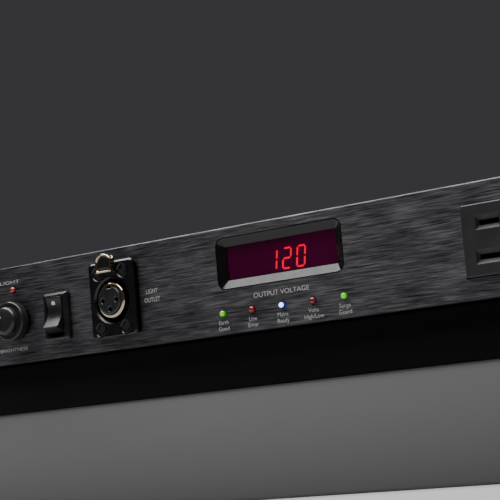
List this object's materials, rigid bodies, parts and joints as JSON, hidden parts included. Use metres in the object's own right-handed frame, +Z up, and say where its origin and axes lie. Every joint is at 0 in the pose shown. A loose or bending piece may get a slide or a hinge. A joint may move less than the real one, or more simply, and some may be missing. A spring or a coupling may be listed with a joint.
{
  "type": "rack power conditioner",
  "caption": "Low rack-mount power strip with a lit voltage display, status lamps, a lamp socket with a dimmer, a rocker switch, a front outlet and a rear row of outlets.",
  "frame": {"origin": "middle of the footprint's bounding box, on the plane that the unit stands on", "axes": "+X right along the panel as seen from the front, +Y from the front panel into the rack, +Z up; the front faces -Y"},
  "size_m": [0.4826, 0.2208, 0.0437],
  "materials": {
    "brushed_black": "brushed, black anodised",
    "black_steel": "fine satin powder coat",
    "black_screws": "black oxide",
    "black_plastic": "gloss",
    "red_lens": "clear dark red, polished",
    "grey_plastic": "matte",
    "circuit_board": "satin",
    "green_lamp": "clear, lit",
    "red_lamp": "clear red, unlit",
    "blue_lamp": "clear, lit",
    "red_lamp_lit": "clear red, lit",
    "knob_plastic": "semi-gloss",
    "bright_metal": "polished",
    "black_metal": "black, satin",
    "outlet_plastic": "fine matte",
    "copper": "lacquered",
    "varistor_blue": "epoxy coat",
    "core_steel": "varnished",
    "button_red": "satin"
  },
  "bodies": {
    "unit": {"breaker_body": "black_plastic", "breaker_nut": "bright_metal", "bus_earth": "copper", "bus_line": "copper", "bus_neutral": "copper", "chassis_tray": "black_steel", "cover_screw_1": "black_screws", "cover_screw_2": "black_screws", "cover_screw_3": "black_screws", "cover_screw_4": "black_screws", "digit_block": "grey_plastic", "dimmer_nut": "bright_metal", "dimmer_pot": "grey_plastic", "display_bezel": "black_plastic", "display_board": "circuit_board", "display_lens": "red_lens", "filter_capacitor_1": "grey_plastic", "filter_capacitor_2": "grey_plastic", "filter_choke": "copper", "front_outlet": "outlet_plastic", "front_panel": "brushed_black", "indicator_led": "red_lamp_lit", "inlet_body": "black_plastic", "inlet_pin_earth": "bright_metal", "inlet_pin_line": "bright_metal", "inlet_pin_neutral": "bright_metal", "inlet_screw_1": "black_screws", "inlet_screw_2": "black_screws", "lamp_transformer": "core_steel", "main_board": "circuit_board", "rear_outlet_1": "outlet_plastic", "rear_outlet_2": "outlet_plastic", "rear_outlet_3": "outlet_plastic", "rear_outlet_4": "outlet_plastic", "rear_outlet_5": "outlet_plastic", "rear_outlet_6": "outlet_plastic", "rear_outlet_7": "outlet_plastic", "rear_outlet_8": "outlet_plastic", "rocker_housing": "black_plastic", "socket_flange": "black_metal", "socket_insert": "black_plastic", "socket_ring": "bright_metal", "socket_screw_1": "black_screws", "socket_screw_2": "black_screws", "socket_screw_3": "black_screws", "socket_screw_4": "black_screws", "status_led_1": "green_lamp", "status_led_2": "red_lamp", "status_led_3": "blue_lamp", "status_led_4": "red_lamp", "status_led_5": "green_lamp", "surge_varistor_1": "varistor_blue", "surge_varistor_2": "varistor_blue", "surge_varistor_3": "varistor_blue", "top_cover": "black_steel"},
    "rocker": {"power_rocker": "knob_plastic"},
    "dimmer": {"dimmer_knob": "knob_plastic", "dimmer_shaft": "bright_metal"},
    "latch": {"socket_latch": "bright_metal"},
    "reset_button": {"breaker_button": "button_red"}
  },
  "joints": [
    {"name": "rocker_tilt", "type": "hinge", "parent": "unit", "child": "rocker", "pos_m": [-0.1217, -0.09988, 0.018], "axis": [1, 0, 0], "range_deg": [0, 28]},
    {"name": "dimmer_turn", "type": "hinge", "parent": "unit", "child": "dimmer", "pos_m": [-0.148, -0.10237, 0.0188], "axis": [0, 1, 0], "range_deg": [-135, 135]},
    {"name": "latch_press", "type": "slide", "parent": "unit", "child": "latch", "axis": [0, 1, 0], "range_m": [0, 0.0012], "stiffness_N_per_m": 800, "springref_m": -0.0012},
    {"name": "reset_press", "type": "slide", "parent": "unit", "child": "reset_button", "axis": [0, -1, 0], "range_m": [0, 0.003], "stiffness_N_per_m": 800, "springref_m": -0.0015}
  ]
}
